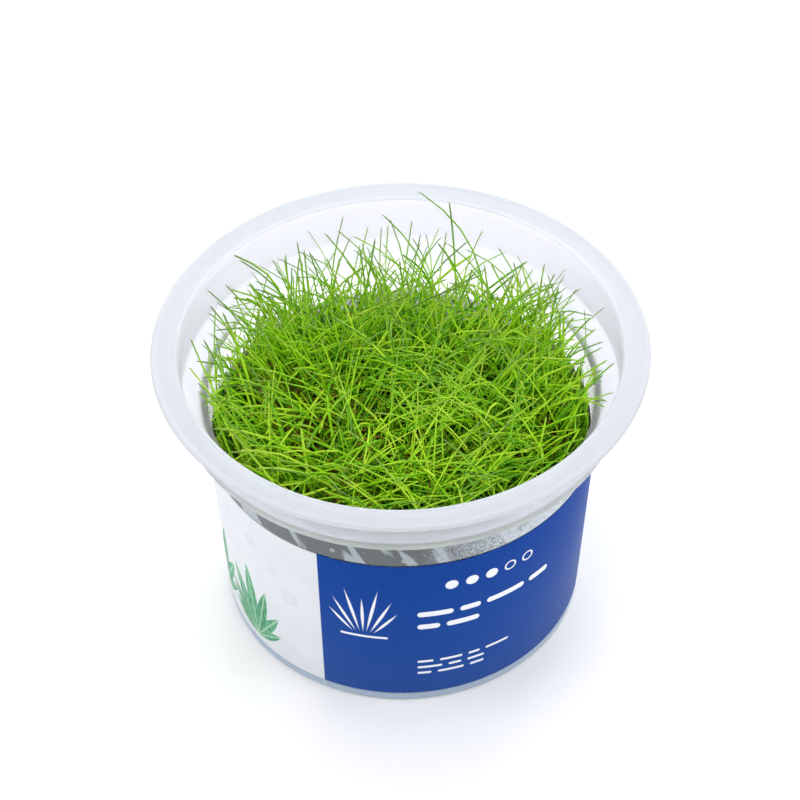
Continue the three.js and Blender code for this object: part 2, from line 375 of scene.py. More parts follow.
# Rings round the axis, which waver a little with the clouds
flat = wire.add("VectorMath", {"operation": "MULTIPLY"}, i0=place, i1=(1, 1, 0)).outputs[0]
waver = wire.math("MULTIPLY", clouds, 0.0004)
rings = wire.noise(wire.vector(wire.length(flat), waver), 1500)
print("marks drawn in group", tree.name)

# %% Turn the marks into colour, gloss and height
uneven = wire.math("SUBTRACT", wire.math("MULTIPLY_ADD", rings, 1.6, clouds), 1.3)
shade = wire.math("MULTIPLY_ADD", uneven, entry["Flow Marks"], 1.0)
tinted = wire.add("VectorMath", {"operation": "SCALE"}, i0=entry["Colour"], Scale=shade)
coloured = wire.blend(specks, tinted.outputs[0], entry["Speck Colour"])
rough = wire.math("MULTIPLY_ADD", wire.math("SUBTRACT", fine, 0.5), 0.12, entry["Gloss"])
height = wire.math("MULTIPLY_ADD", rings, 1.5, fine)
height = wire.math("MULTIPLY_ADD", clouds, 0.7, height)
for value, socket in ((coloured, "Colour"), (rough, "Roughness"), (height, "Height")):
    tree.links.new(value, leave[socket])
moulded_surface = tree
print("group", tree.name, "has", len(tree.nodes), "nodes")

# %% Five plastics from one group
def plastic_finish(name, colour, gloss, flow, bump, **fixed):
    """A moulded plastic with the shared surface group."""
    finish, shader, wire = principled_finish(name, **fixed)
    surface = wire.group(moulded_surface, Colour=(*colour, 1), Gloss=gloss, Flow_Marks=flow)
    wire.feed(shader, "Base Color", surface["Colour"])
    wire.feed(shader, "Roughness", surface["Roughness"])
    wire.relief(shader, surface["Height"], bump, 0.2 * MM)
    return finish


flange_plastic = plastic_finish(
    "flange_plastic", (0.60, 0.63, 0.68), 0.45, 0.05, 0.12,
    IOR=1.49, Specular_IOR_Level=0.35, Transmission_Weight=0.4,
    Subsurface_Weight=0.9, Subsurface_Radius=(1.0, 1.0, 1.1), Subsurface_Scale=0.003,
)
ledge_plastic = plastic_finish(
    "ledge_plastic", (0.86, 0.87, 0.93), 0.5, 0.04, 0.12,
    IOR=1.3, Specular_IOR_Level=0.15, Transmission_Weight=0.8,
)
wall_plastic = plastic_finish(
    "wall_plastic", (0.90, 0.89, 0.975), 0.55, 0.03, 0.1,
    IOR=1.3, Specular_IOR_Level=0.15, Transmission_Weight=0.77,
)
clear_plastic = plastic_finish(
    "clear_plastic", (0.965, 0.975, 0.985), 0.16, 0.03, 0.03,
    IOR=1.49, Transmission_Weight=0.96,
)
foot_plastic = plastic_finish(
    "foot_plastic", (0.50, 0.62, 0.78), 0.25, 0.05, 0.1,
    IOR=1.49, Transmission_Weight=0.4,
)
print("five plastics from one group")

# %% Ruler round the cup
# Measures a point in millimetres: along the wall from the middle of the front, and up
RULER_RADIUS = 37.0
tree, wire, entry, leave = node_group(
    "cup ruler", {}, {"Along": ("Float", None), "Up": ("Float", None)}
)
parts = wire.add("SeparateXYZ", None, Vector=wire.place()).outputs
turned_by = wire.math("ARCTAN2", parts["X"], wire.math("MULTIPLY", parts["Y"], -1.0))
tree.links.new(wire.math("MULTIPLY", turned_by, RULER_RADIUS), leave["Along"])
tree.links.new(wire.math("MULTIPLY", parts["Z"], 1 / MM), leave["Up"])
cup_ruler = tree
print("one turn of the cup is", round(math.tau * RULER_RADIUS, 1), "mm")

# %% Dress the cup
FOOT_TOP, BODY_TOP = 2.2 * MM, 50.2 * MM
WALL_FROM, WALL_TO = 52.9 * MM, 61.6 * MM
CUP_FINISHES = [flange_plastic, wall_plastic, ledge_plastic, clear_plastic, foot_plastic]
for face in cup_bm.faces:
    centre = face.calc_center_median()
    if centre.z > WALL_TO:
        finish = flange_plastic
    elif centre.z > WALL_FROM:
        finish = wall_plastic
    elif centre.z > BODY_TOP:
        finish = ledge_plastic
    elif centre.z > FOOT_TOP:
        finish = clear_plastic
    else:
        finish = foot_plastic
    face.material_index = CUP_FINISHES.index(finish)
finish_piece(cup_bm, "plant_cup", ["cup"], CUP_FINISHES)

# %% [markdown]
# ## Mist and drops
# Damp air mists the clear wall above the print. The mist could be a texture on the wall itself,
# but it lies over the plastic and hides part of it, so here it is a skin of its own, spun a hair
# outside the wall, and its material fades out at the sides. Droplets too fine to see one by one
# are grain in that material; the larger ones are modelled.

# %% Breathe mist on the wall
MIST_OUTLINE = [
    (38.03, 42.4, 0), (38.06, 42.4, 0), (38.52, 49.4, 0), (38.49, 49.4, 0),
]
mist_bm = spin_outline(MIST_OUTLINE, closed=True)
mist, shader, wire = principled_finish("mist", Specular_IOR_Level=0.4)
ruler = wire.group(cup_ruler)
along, height_up = ruler["Along"], ruler["Up"]
# Where water ran down, the mist is smooth, and there it is painted dark grey: painted shade for
# the dark inside of the cup seen through the wall. Beside the runs it is pale mist
slant = wire.math("MULTIPLY_ADD", height_up, 0.09, wire.math("MULTIPLY", along, 0.2))
runs = wire.noise(wire.vector(slant, wire.math("MULTIPLY", height_up, 0.04)), 1.0)
patches = wire.spread(runs, 0.54, 0.58)
mist_over_painted_shade = wire.blend(patches, (0.13, 0.15, 0.165, 1), (0.42, 0.47, 0.52, 1))
# Fine droplets frost it towards the right
grain = wire.noise(wire.place(), 2600)
droplets = wire.spread(grain, 0.40, 0.62, 0.15, 0.9)
frost = wire.math("MULTIPLY", droplets, wire.spread(along, 3.0, 18.0))
wire.feed(shader, "Base Color", wire.blend(frost, mist_over_painted_shade, (0.72, 0.78, 0.86, 1)))
wire.feed(shader, "Roughness", wire.spread(frost, 0.0, 1.0, 0.25, 0.55))
wire.relief(shader, grain, 0.35, 0.2 * MM)
fading = wire.spread(wire.math("ABSOLUTE", along), 36.0, 56.0, 0.72, 0.0)
wire.feed(shader, "Alpha", fading)
finish_piece(mist_bm, "mist_skin", [], [mist])

# %% Bead the water drops
# Each drop is a flattened ball that has sunk into the wall: along, up and radius in millimetres
BIG_DROPS = ((-13.0, 44.6, 0.6), (0.2, 43.8, 0.65), (16.6, 46.4, 0.6), (15.6, 43.9, 0.5))
SMALL_DROPS = 60
DROP_FLATNESS = 0.4
WALL_RADIUS, WALL_LEVEL, WALL_SLOPE = 38.0, 42.2, 0.0658
drop_draw = random.Random(88)
drops = list(BIG_DROPS)
for _ in range(SMALL_DROPS):
    drops.append((drop_draw.triangular(-32, 40, 18), drop_draw.uniform(43.2, 49.2),
                  drop_draw.uniform(0.1, 0.24)))
drops_bm = bmesh.new()
for around, height, radius in drops:
    turn = around / RULER_RADIUS
    away = WALL_RADIUS + (height - WALL_LEVEL) * WALL_SLOPE
    spot = Vector((math.sin(turn) * away, -math.cos(turn) * away, height)) * MM
    lay = Matrix.Translation(spot) @ Matrix.Rotation(turn, 4, "Z")
    lay = lay @ Matrix.Diagonal((1, DROP_FLATNESS, 1, 1))
    bmesh.ops.create_icosphere(drops_bm, subdivisions=2, radius=radius * MM, matrix=lay)
print(len(drops), "drops")

# %% Fill the drops with water
water, shader, wire = principled_finish("water", IOR=1.33, Transmission_Weight=0.7)
ripple = wire.noise(wire.place(), 900)
water_colour = wire.blend(ripple, (0.86, 0.90, 0.92, 1), (0.97, 0.98, 1.0, 1))
wire.feed(shader, "Base Color", water_colour)
wire.feed(shader, "Roughness", wire.spread(ripple, 0.3, 0.7, 0.01, 0.06))
wire.relief(shader, ripple, 0.1, 0.1 * MM)
finish_piece(drops_bm, "water_drops", [], [water])

# %% [markdown]
# ## Gel
# The plantlets root in a bed of clear nutrient gel. It sets against the wall, so its surface
# climbs a little at the edge. It is spun like the cup.

# %% Cast the gel
GEL_OUTLINE = [
    (0.0, 3.2, 0), (33.0, 3.2, 0.4), (34.2, 4.4, 0.4), (35.1, 19.3, 0.1),
    (35.14, 20.0, 0.05), (34.9, 19.9, 0.05), (34.2, 19.45, 0.2), (32.5, 19.3, 0.2),
    (0.0, 19.3, 0),
]
gel_bm = spin_outline(GEL_OUTLINE)
round_rings(gel_bm, GEL_OUTLINE)
gel, shader, wire = principled_finish(
    "nutrient_gel", IOR=1.34, Transmission_Weight=0.6, Coat_Weight=0.3
)
place = wire.place()
cloud = wire.noise(place, 140, 4)
cloudy = wire.spread(cloud, 0.35, 0.7)
gel_colour = wire.blend(cloudy, (0.62, 0.64, 0.50, 1), (0.80, 0.81, 0.70, 1))
wire.feed(shader, "Base Color", gel_colour)
wire.feed(shader, "Roughness", wire.spread(wire.noise(place, 700), 0.3, 0.7, 0.12, 0.3))
wire.relief(shader, cloud, 0.2, 0.4 * MM)
finish_piece(gel_bm, "gel_bed", ["nutrient_gel"], [gel])

# %% [markdown]
# ## Printed sleeve
# The sleeve is a thin printed film in a shallow recess. It could be a flat strip bent with a
# Simple Deform modifier, but it is round from the start, so it is spun as a thin ring. Its
# print is drawn by the material: every mark is a distance from a simple shape, measured in
# millimetres round the cup and up from the table, so it stays sharp at any size. The print is
# generic: rows of dashes, dots, a sign of needles and fans of leaves.

# %% Wrap the sleeve
SLEEVE_OUTLINE = [
    (35.37, 2.4, 0.05), (35.62, 2.4, 0.06), (37.99, 41.85, 0.06), (37.74, 41.85, 0.05),
]
sleeve_bm = spin_outline(SLEEVE_OUTLINE, closed=True)
round_rings(sleeve_bm, SLEEVE_OUTLINE, segments=2)
print("the sleeve has", len(sleeve_bm.faces), "faces")

# %% Dash mark: a short bar with round ends
MARK_EDGE = 0.06
tree, wire, entry, leave = node_group(
    "dash mark",
    {
        "Along": ("Float", 0.0), "Up": ("Float", 0.0),
        "Centre Along": ("Float", 0.0), "Centre Up": ("Float", 0.0),
        "Half Length": ("Float", 5.0), "Half Width": ("Float", 0.5),
    },
    {"Mask": ("Float", None)},
)
across = wire.math("ABSOLUTE", wire.math("SUBTRACT", entry["Along"], entry["Centre Along"]))
straight = wire.math("SUBTRACT", entry["Half Length"], entry["Half Width"])
past_end = wire.math("MAXIMUM", wire.math("SUBTRACT", across, straight), 0.0)
above = wire.math("SUBTRACT", entry["Up"], entry["Centre Up"])
apart = wire.length(wire.vector(past_end, above))
outside = wire.math("SUBTRACT", apart, entry["Half Width"])
tree.links.new(wire.spread(outside, -MARK_EDGE, MARK_EDGE, 1.0, 0.0), leave["Mask"])
dash_mark = tree
print("group", tree.name, "has", len(tree.nodes), "nodes")

# %% Leaf mark: a long shape with two pointed ends
tree, wire, entry, leave = node_group(
    "leaf mark",
    {
        "Along": ("Float", 0.0), "Up": ("Float", 0.0),
        "Root Along": ("Float", 0.0), "Root Up": ("Float", 0.0),
        "Turn": ("Float", 0.0), "Length": ("Float", 12.0), "Width": ("Float", 3.0),
    },
    {"Mask": ("Float", None), "Rib": ("Float", None)},
)
from_root = wire.vector(wire.math("SUBTRACT", entry["Along"], entry["Root Along"]),
                        wire.math("SUBTRACT", entry["Up"], entry["Root Up"]))
turned_leaf = wire.add("VectorRotate", {"rotation_type": "Z_AXIS"}, Vector=from_root,
                       Angle=wire.math("MULTIPLY", entry["Turn"], -1.0)).outputs[0]
parts = wire.add("SeparateXYZ", None, Vector=turned_leaf).outputs
share = wire.math("DIVIDE", parts["X"], entry["Length"])
from_rib = wire.math("ABSOLUTE", parts["Y"])
belly = wire.math("SINE", wire.math("MULTIPLY", share, math.pi))
half_width = wire.math("MULTIPLY", belly, wire.math("MULTIPLY", entry["Width"], 0.5))
inside = wire.spread(wire.math("SUBTRACT", half_width, from_rib), 0.0, 0.15)
within = wire.math("MULTIPLY", wire.math("GREATER_THAN", share, 0.0),
                   wire.math("LESS_THAN", share, 1.0))
tree.links.new(wire.math("MULTIPLY", inside, within), leave["Mask"])
tree.links.new(wire.spread(from_rib, 0.1, 0.28, 1.0, 0.0), leave["Rib"])
leaf_mark = tree
print("group", tree.name, "has", len(tree.nodes), "nodes")

# %% Lay out the marks on the blue field
# The blue field runs from its slanted left edge round to the right; the rest is white
BLUE_FROM, BLUE_TO = -17.0, 84.0
EDGE_SLANT = 0.0165
# Rows of dashes stand where a label has its words: start along, centre up, half width, lengths
DASH_ROWS = [
    (2.5, 27.2, 0.72, (7.0, 4.2, 8.4, 5.0)), (2.5, 23.4, 0.72, (4.4, 6.6)),
    (2.5, 12.4, 0.32, (3.2, 4.6, 2.4, 5.2)), (2.5, 10.6, 0.32, (5.0, 2.6, 3.6)),
    (2.5, 8.8, 0.32, (2.8, 5.4, 3.0)), (-12.6, 20.0, 0.3, (9.4,)),
]
DASH_GAP = 1.3
# A small sign of seven needles: how far each leans from upright in degrees, and its length
SIGN_ALONG, SIGN_UP, SIGN_WIDTH = -8.0, 21.0, 0.75
SIGN_NEEDLES = [(-38, 8.0), (-25, 11.0), (-12, 13.6), (0, 11.0), (11, 14.0), (24, 11.4),
                (37, 8.4)]
# A row of dots, the first ones filled
DOTS_ALONG, DOTS_FILLED, DOTS_UP = (9.0, 13.0, 17.0, 21.0, 25.0), 3, 35.2
DOT_RADIUS, DOT_LINE = 1.25, 0.17
print("rows of dashes:", len(DASH_ROWS), "dots:", len(DOTS_ALONG))

# %% Draw the white ink
print_finish, shader, wire = principled_finish(
    "printed_film", Specular_IOR_Level=0.06, Transmission_Weight=0.05
)
ruler = wire.group(cup_ruler)
along, height_up = ruler["Along"], ruler["Up"]


def mark(group, **sockets):
    """The masks of one printed mark."""
    return wire.group(group, Along=along, Up=height_up, **sockets)


def distance_to(centre_along, centre_up):
    """How far each point of the film is from one spot, in millimetres."""
    return wire.length(wire.vector(wire.math("SUBTRACT", along, centre_along),
                                   wire.math("SUBTRACT", height_up, centre_up)))


masks = []
for start_along, centre_up, half_width, lengths in DASH_ROWS:
    for length in lengths:
        masks.append(mark(dash_mark, Centre_Along=start_along + length / 2,
                          Centre_Up=centre_up, Half_Length=length / 2,
                          Half_Width=half_width)["Mask"])
        start_along += length + DASH_GAP
for lean, length in SIGN_NEEDLES:
    masks.append(mark(leaf_mark, Root_Along=SIGN_ALONG + 0.05 * lean, Root_Up=SIGN_UP,
                      Turn=math.radians(90 - lean), Length=length, Width=SIGN_WIDTH)["Mask"])
for number, centre_along in enumerate(DOTS_ALONG):
    apart, reach = distance_to(centre_along, DOTS_UP), DOT_RADIUS
    if number >= DOTS_FILLED:
        apart = wire.math("ABSOLUTE", wire.math("SUBTRACT", apart, DOT_RADIUS - 0.15))
        reach = DOT_LINE
    masks.append(wire.spread(apart, reach - MARK_EDGE, reach + MARK_EDGE, 1.0, 0.0))
white_ink = masks[0]
for mask in masks[1:]:
    white_ink = wire.math("MAXIMUM", white_ink, mask)
print("white marks drawn:", len(masks))

# %% Ink the blue field
speckle = wire.noise(wire.place(), 2600)
ink = wire.blend(wire.spread(speckle, 0.35, 0.75), (0.001, 0.040, 0.25, 1),
                 (0.004, 0.058, 0.32, 1))
blue = wire.blend(wire.spread(height_up, 5.0, 40.0), (0.005, 0.055, 0.28, 1), ink)
blue_field = wire.blend(white_ink, blue, (0.80, 0.82, 0.86, 1))
print("blue field inked")

# %% Print bubbles on the white panel
# Grey bubbles: centre along, centre up, radius
PANEL_BUBBLES = [(-23.5, 24.0, 2.2), (-27.5, 29.5, 1.3), (-22.5, 32.5, 0.9),
                 (-33.0, 34.5, 1.7), (-40.5, 36.6, 1.0)]
cloud = wire.noise(wire.place(), 160, 3)
cloudy = wire.spread(cloud, 0.35, 0.7)
panel = wire.blend(cloudy, (0.68, 0.705, 0.745, 1), (0.645, 0.67, 0.715, 1))
grey = wire.blend(speckle, (0.40, 0.44, 0.52, 1), (0.70, 0.73, 0.79, 1))
for centre_along, centre_up, radius in PANEL_BUBBLES:
    apart = distance_to(centre_along, centre_up)
    body = wire.spread(apart, radius - 0.3, radius, 1.0, 0.0)
    shade = wire.spread(apart, 0.0, radius, 0.15, 0.6)
    panel = wire.blend(wire.math("MULTIPLY", body, shade), panel, grey)
print("bubbles printed:", len(PANEL_BUBBLES))

# %% Print fans of broad leaves on the white panel
# Each fan: root along, root up, size. Each of its leaves: turn, length, width, how pale it is
PANEL_FANS = [(-52.0, 4.0, 1.0), (-35.0, 3.6, 0.8)]
FAN_LEAVES = [(152, 13, 3.2, 0.5), (34, 12, 3.0, 0.7), (131, 18, 3.8, 0.2), (55, 17, 3.6, 0.9),
              (111, 23, 4.2, 0.6), (75, 22, 4.0, 0.3), (93, 27, 4.4, 0.8)]
streak_place = wire.vector(wire.math("MULTIPLY", along, 1.6),
                           wire.math("MULTIPLY", height_up, 0.5))
streaks = wire.spread(wire.noise(streak_place, 1.0, 3), 0.35, 0.65)
for root_along, root_up, size in PANEL_FANS:
    for turn, length, width, paleness in FAN_LEAVES:
        blade = mark(leaf_mark, Root_Along=root_along, Root_Up=root_up,
                     Turn=math.radians(turn), Length=length * size, Width=width * size)
        deep = (0.02 + 0.03 * paleness, 0.15 + 0.10 * paleness, 0.08 + 0.05 * paleness, 1)
        pale = (0.08 + 0.08 * paleness, 0.34 + 0.14 * paleness, 0.17 + 0.10 * paleness, 1)
        green = wire.blend(streaks, deep, pale)
        rib = wire.math("MULTIPLY", blade["Rib"], 0.6)
        green = wire.blend(rib, green, (0.50, 0.72, 0.52, 1))
        panel = wire.blend(blade["Mask"], panel, green)
print("fans printed:", len(PANEL_FANS))

# %% Join the blue field and the white panel
slanted = wire.math("MULTIPLY_ADD", height_up, -EDGE_SLANT, along)
past_left = wire.spread(slanted, BLUE_FROM - MARK_EDGE, BLUE_FROM + MARK_EDGE)
before_right = wire.spread(along, BLUE_TO - MARK_EDGE, BLUE_TO + MARK_EDGE, 1.0, 0.0)
in_blue = wire.math("MULTIPLY", past_left, before_right)
wire.feed(shader, "Base Color", wire.blend(in_blue, panel, blue_field))
wire.feed(shader, "Roughness", wire.spread(speckle, 0.3, 0.7, 0.36, 0.5))
wire.relief(shader, wire.math("MULTIPLY_ADD", cloud, 0.6, speckle), 0.15, 0.1 * MM)
print("print finish has", len(wire.tree.nodes), "nodes")

# %% [markdown]
# ## Film without print
# Round the back the film is plain white, with one seam, and its inside is white everywhere. A
# thin film isn't opaque: daylight soaks through it and lights the cup from behind. It could be
# part transmission, but then the dark leaves show through, so it is subsurface light here.

# %% Plain film
HALF_TURN = math.pi * RULER_RADIUS
SEAM_WIDTH = 0.25
SOAKED_BY_LIGHT = {
    "Subsurface_Weight": 1.0,
    "Subsurface_Radius": (1.0, 1.0, 1.0),
    "Subsurface_Scale": 0.8 * MM,
}


def film_finish(name, white, **fixed):
    """Film without print, in its own white."""
    finish, shader, wire = principled_finish(name, Specular_IOR_Level=0.2, **fixed)
    speckle = wire.noise(wire.place(), 1500, 3)
    patchy = wire.spread(speckle, 0.3, 0.7)
    duller = tuple(0.95 * part for part in white)
    tint = wire.blend(patchy, (*duller, 1), (*white, 1))
    from_front = wire.math("ABSOLUTE", wire.group(cup_ruler)["Along"])
    from_seam = wire.math("SUBTRACT", HALF_TURN, from_front)
    seam = wire.spread(from_seam, SEAM_WIDTH, SEAM_WIDTH + MARK_EDGE, 0.6, 0.0)
    wire.feed(shader, "Base Color", wire.blend(seam, tint, (0.42, 0.44, 0.48, 1)))
    wire.feed(shader, "Roughness", wire.spread(speckle, 0.3, 0.7, 0.45, 0.6))
    wire.relief(shader, speckle, 0.1, 0.1 * MM)
    return finish


plain_film = film_finish("plain_film", (0.73, 0.75, 0.785), **SOAKED_BY_LIGHT)
film_inside = film_finish("film_inside", (0.97, 0.975, 0.975), **SOAKED_BY_LIGHT)
print_inside = film_finish("print_inside", (0.97, 0.975, 0.975), Transmission_Weight=0.1)
print("the seam is", round(HALF_TURN, 1), "mm from the middle of the front")

# %% Dress the sleeve
PRINT_FROM, PRINT_TO = -66.0, 84.0
SLEEVE_FINISHES = [print_finish, plain_film, film_inside, print_inside]
for face in sleeve_bm.faces:
    centre = face.calc_center_median()
    around = math.atan2(centre.x, -centre.y) * RULER_RADIUS
    printed = PRINT_FROM < around < PRINT_TO
    if face.normal.xy.dot(centre.xy) < 0:
        finish = print_inside if printed else film_inside
    else:
        finish = print_finish if printed else plain_film
    face.material_index = SLEEVE_FINISHES.index(finish)
finish_piece(sleeve_bm, "label_print", ["label_sleeve"], SLEEVE_FINISHES)

# %% [markdown]
# ## Needle leaves
# Each plantlet is a tussock of round, blunt needles that rise from one crown, arch over and
# cross their neighbours. Thousands of them could be hair curves, but hair isn't a mesh, and the
# object has to be one. So a small library of bent needles is modelled first: one ring is
# extruded, turned and narrowed again and again, exactly as one would do by hand. Then copies
# are stretched between a crown and a tip. A needle has only a few dozen faces, because there
# are so many.

# %% Bend one needle
# The width at each ring, and how far each ring is from the one before; the tip stays blunt
NEEDLE_WIDTHS = (0.75, 0.94, 1.0, 1.0, 1.0, 1.0, 0.98, 0.95, 0.91, 0.85, 0.72, 0.3)
NEEDLE_STEPS = len(NEEDLE_WIDTHS) - 1
STEP_LENGTHS = [0.098] * (NEEDLE_STEPS - 1) + [0.02]
NEEDLE_SIDES = 4


def needle_path(turns, twists):
    """The middle line of a needle of length one, and where it heads at each point."""
    line, headings = [Vector()], [Matrix.Identity(3)]
    for turn, twist, step in zip(turns, twists, STEP_LENGTHS):
        bend = Matrix.Rotation(turn, 3, "Y") @ Matrix.Rotation(twist, 3, "Z")
        headings.append(headings[-1] @ bend)
        line.append(line[-1] + headings[-1] @ Vector((0, 0, step)))
    return line, headings


def bent_needle(turns, twists, half_width):
    """A needle one unit from root to tip along +Z that bulges towards +X, and its middle line."""
    line, headings = needle_path(turns, twists)
    span = line[-1].length
    bm = bmesh.new()
    along_layer = bm.verts.layers.float.new("along")
    bmesh.ops.create_circle(bm, cap_ends=True, segments=NEEDLE_SIDES,
                            radius=half_width * span * NEEDLE_WIDTHS[0])
    ring = list(bm.edges)
    for number in range(1, NEEDLE_STEPS + 1):
        made = bmesh.ops.extrude_edge_only(bm, edges=ring)["geom"]
        corners = [part for part in made if isinstance(part, bmesh.types.BMVert)]
        ring = [part for part in made if isinstance(part, bmesh.types.BMEdge)
                and part.verts[0] in corners and part.verts[1] in corners]
        bend = headings[number] @ headings[number - 1].transposed()
        bmesh.ops.rotate(bm, verts=corners, cent=line[number - 1], matrix=bend)
        bmesh.ops.translate(bm, verts=corners, vec=line[number] - line[number - 1])
        narrower = NEEDLE_WIDTHS[number] / NEEDLE_WIDTHS[number - 1]
        bmesh.ops.scale(bm, verts=corners, vec=(narrower,) * 3,
                        space=Matrix.Translation(-line[number]))
        for corner in corners:
            corner[along_layer] = number / NEEDLE_STEPS
    bmesh.ops.pointmerge(bm, verts=corners, merge_co=line[-1])
    bmesh.ops.recalc_face_normals(bm, faces=bm.faces)
    upright = line[-1].rotation_difference(Vector((0, 0, 1))).to_matrix() * (1 / span)
    bulge = sum((upright @ point for point in line), Vector())
    settle = Matrix.Rotation(-math.atan2(bulge.y, bulge.x), 3, "Z") @ upright
    bmesh.ops.transform(bm, matrix=settle.to_4x4(), verts=bm.verts)
    mesh = bpy.data.meshes.new("bent_needle")
    bm.to_mesh(mesh)
    bm.free()
    for layer in ("tone", "dryness"):
        mesh.attributes.new(layer, "FLOAT", "POINT")
    return mesh, [settle @ point for point in line]


print("a needle has", NEEDLE_STEPS, "steps and", NEEDLE_SIDES, "sides")

# %% Grow the library of bent needles
draw = random.Random(4107)
# Habit: how many, least and greatest bend in all in degrees, how late it bends, how thick
HABITS = {
    "upright": (8, 14, 55, 0.5, 0.95),
    "arching": (12, 50, 115, 0.5, 0.95),
    "drooping": (8, 100, 145, 0.5, 0.9),
    "wavy": (8, 50, 100, 0.0, 1.0),
    "sweeping": (12, 45, 120, 0.4, 1.35),
}
NEEDLE_RADIUS = 0.185  # millimetres
NEEDLE_LENGTHS = (14, 20, 27, 36, 48)  # millimetres that a bent needle may be stretched to
TURN_WOBBLE, TWIST_WOBBLE = 1.2, 5.0  # degrees at each step


def grow_library():
    """Every habit's needles, each one in a mesh for every length, so that none gets too thick."""
    library = {}
    for habit, (count, least, most, late, thick) in HABITS.items():
        library[habit] = []
        for _ in range(count):
            weights = [((n + 0.5) / NEEDLE_STEPS) ** (late * draw.uniform(0.6, 1.5))
                       for n in range(NEEDLE_STEPS)]
            total = math.radians(draw.uniform(least, most)) / sum(weights)
            turns = [total * weight + math.radians(draw.gauss(0, TURN_WOBBLE))
                     for weight in weights]
            if habit == "wavy":
                swing = 1.5 * draw.uniform(4.0, 6.5)
                turns = [2 * turn * math.cos(math.pi * n / swing)
                         for n, turn in enumerate(turns)]
            twists = [math.radians(draw.gauss(0, TWIST_WOBBLE)) for _ in turns]
            thickness = NEEDLE_RADIUS * thick * draw.uniform(0.75, 1.3)
            library[habit].append({
                length: bent_needle(turns, twists, thickness / length)
                for length in NEEDLE_LENGTHS
            })
    return library


def pick_needle(habit, length):
    """A library needle of a habit, as thick as it should be once it has this length."""
    nearest = min(NEEDLE_LENGTHS, key=lambda known: abs(known - length / MM))
    return draw.choice(needle_library[habit])[nearest]


needle_library = grow_library()
print({habit: len(needles) for habit, needles in needle_library.items()})

# %% [markdown]
# ## Planting
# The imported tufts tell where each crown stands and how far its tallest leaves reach. A leaf is
# drawn from the library, turned so that it starts upright and bends outwards, and kept only if
# every point of its middle line stays inside the cup. Placing thousands by hand would take days,
# so each kind of leaf has a rule: the bulk round a crown, the tallest tips, fans at the back and
# sides, a fringe that the wall presses upright, and short dead leaves. Only the dozen that catch
# the eye are placed one by one. Seeded draws give the same mat on every run.

# %% Find the crowns and the tallest tips
TUFT_NODES = sorted(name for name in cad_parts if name.startswith("tuft_"))
TALL_FROM = 47 * MM
TALL_APART = 3 * MM


def crown_of(node):
    """The middle of a packed tuft's foot, where its leaves root."""
    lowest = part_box(node)[0].z
    feet = [v.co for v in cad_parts[node].data.vertices if v.co.z < lowest + 0.1 * MM]
    return sum(feet, Vector()) / len(feet)


def tall_points_of(node):
    """Different places high up on a packed tuft, where its longest leaves pass or end."""
    found = {tuple(round(value, 4) for value in v.co)
             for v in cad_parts[node].data.vertices if v.co.z > TALL_FROM}
    kept = []
    for point in sorted(map(Vector, found), key=lambda point: -point.z):
        if all((point - other).length > TALL_APART for other in kept):
            kept.append(point)
    return kept


crowns = {node: crown_of(node) for node in TUFT_NODES}
print(len(crowns), "crowns;", sum(len(tall_points_of(n)) for n in TUFT_NODES), "tall points")

# %% Keep leaves inside the cup
LEAF_CEILING = 70.4 * MM
GEL_SURFACE = 19.3 * MM
LEDGE_FROM, LEDGE_TO = 50 * MM, 53.3 * MM
BODY_REACH, WALL_REACH, BODY_TAPER = 36.9 * MM, 41.3 * MM, 0.06


def wall_reach(height):
    """How far from the axis a leaf's middle line may be at a height."""
    if height > LEDGE_TO:
        return WALL_REACH
    if height > LEDGE_FROM:
        return BODY_REACH
    return BODY_REACH - BODY_TAPER * (LEDGE_FROM - height)


def fits(line, matrix):
    """Does every point of a placed middle line stay in the cup?"""
    placed = [matrix @ point for point in line[1:]]
    return all(p.xy.length < wall_reach(p.z) and GEL_SURFACE < p.z < LEAF_CEILING
               for p in placed)


print("the wall is", round(wall_reach(GEL_SURFACE) / MM, 1), "mm from the axis at the gel")

# %% Plant one leaf
PLACES_TRIED = 14


def stretched(root, tip, roll):
    """The matrix that lays a library needle between two points, bulging up and then rolled."""
    chord = tip - root
    forward = chord.normalized()
    lift = Vector((0, 0, 1)) - forward.z * forward
    side = Matrix.Rotation(roll, 3, forward) @ lift.normalized()
    across = forward.cross(side)
    turned_needle = Matrix((side, across, forward)).transposed() * chord.length
    return Matrix.Translation(root) @ turned_needle.to_4x4()


def plant(bm, mesh, matrix, tone, dryness):
    """Adds one copy of a library needle to a plantlet."""
    copy = mesh.copy()
    copy.transform(matrix)
    for layer, value in (("tone", tone), ("dryness", dryness)):
        copy.attributes[layer].data.foreach_set("value", [value] * len(copy.vertices))
    bm.from_mesh(copy)
    bpy.data.meshes.remove(copy)


def plant_between(bm, habit, root, tip, tone, dryness, roll_spread=0.6):
    """Tries needles of a habit between two points until one stays in the cup."""
    for _ in range(PLACES_TRIED):
        mesh, line = pick_needle(habit, (tip - root).length)
        matrix = stretched(root, tip, draw.gauss(0, roll_spread))
        if fits(line, matrix):
            plant(bm, mesh, matrix, tone, dryness)
            return True
    return False


print("a leaf gets", PLACES_TRIED, "tries to fit")

# %% Say where and how leaves stand
ROOT_HEIGHT = 19.0 * MM
ROOT_SPREAD, ROOT_REACH = 5.0 * MM, 34.7 * MM
# The mat grows thinner between these distances behind or before the axis, in millimetres
THIN_FROM, THIN_TO = 10, 34
# Where old leaves show and the green ones stand thinner: right, back and radius, in mm
BROWN_SPOTS = [(-24, 4, 10), (-26, 14, 6), (-13, 0, 9), (-18, -9, 8), (-3, -9, 7), (8, -16, 7),
               (27, -6, 7), (21, 30, 7), (-10, -20, 7)]


